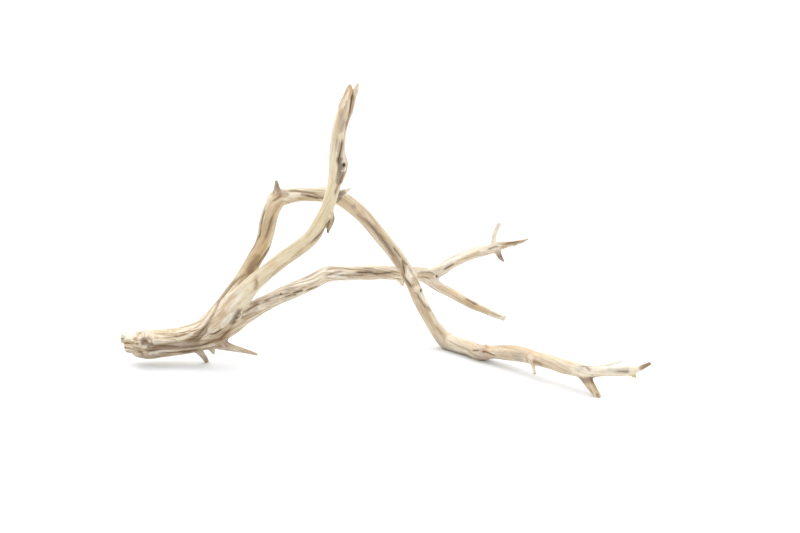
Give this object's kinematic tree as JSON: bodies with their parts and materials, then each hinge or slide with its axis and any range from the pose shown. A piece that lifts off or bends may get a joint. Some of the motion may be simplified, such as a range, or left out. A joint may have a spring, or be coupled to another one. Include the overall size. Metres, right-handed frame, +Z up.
{
  "type": "piece of driftwood",
  "caption": "Weathered branch of driftwood whose trunk splits into an upright limb, a limb arching down to the floor and a forked limb; stands on its own.",
  "frame": {"origin": "centre of the bounding box on the floor that the wood stands on", "axes": "+Z up, +X from the butt of the trunk towards the end of the arching limb, +Y away from the side that the picture shows"},
  "size_m": [0.5894, 0.286, 0.3203],
  "materials": {
    "weathered_wood": "matt, bleached tan wood with brown cracks and grey patches"
  },
  "bodies": {
    "root": {"driftwood": "weathered_wood"}
  },
  "joints": []
}
